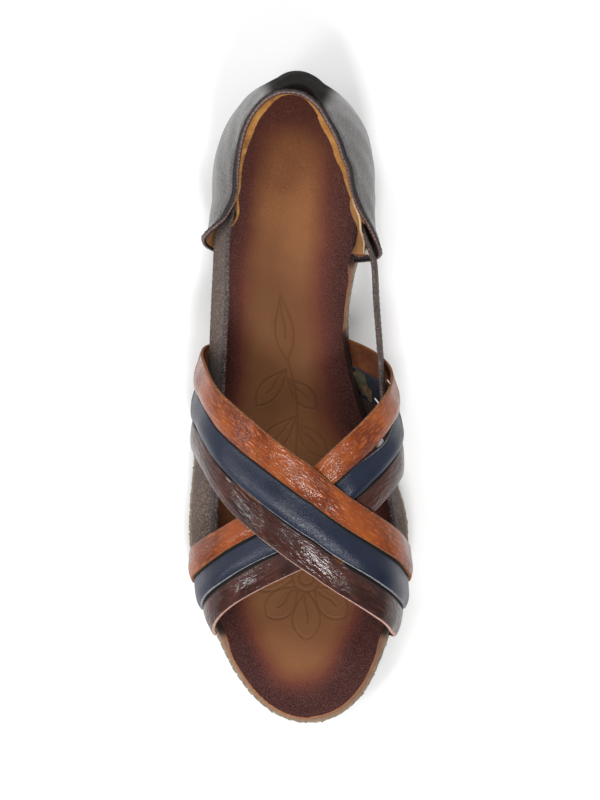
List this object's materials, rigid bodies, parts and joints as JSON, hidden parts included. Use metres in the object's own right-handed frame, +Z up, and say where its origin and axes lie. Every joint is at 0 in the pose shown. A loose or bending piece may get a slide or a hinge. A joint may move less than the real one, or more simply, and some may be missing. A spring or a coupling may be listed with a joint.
{
  "type": "open-toe flat shoe",
  "caption": "Right open-toe leather flat with crossed strap bands, a low heel counter, elastic side gores and a treaded rubber sole.",
  "frame": {"origin": "on the floor, under the middle of the whole shoe's box", "axes": "+Z up, +Y towards the heel, so the toe points to -Y, and +X towards the medial side of the right foot"},
  "size_m": [0.0876, 0.255, 0.078],
  "materials": {
    "sole_rubber": "matt taupe-grey rubber with a fine wedge tread",
    "insole_leather": "burnished smooth leather, tan in the middle and maroon-brown at the edge",
    "tan_leather": "crinkled semi-gloss tan leather",
    "navy_leather": "smooth semi-gloss navy leather",
    "brown_leather": "crinkled glossy dark brown leather",
    "counter_leather": "dark grey-brown leather with a soft sheen",
    "gore_elastic": "ribbed knitted elastic webbing",
    "lining_suede": "ochre suede lining with a napped surface",
    "cut_edge": "raw pale cut edge of the leather",
    "thread": "dark waxed sewing thread"
  },
  "bodies": {
    "root": {"outsole": "sole_rubber", "insole": "insole_leather", "straps_tan": "tan_leather", "straps_navy": "navy_leather", "straps_brown": "brown_leather", "counter": "counter_leather", "gore_medial": "gore_elastic", "gore_lateral": "gore_elastic"}
  },
  "joints": []
}
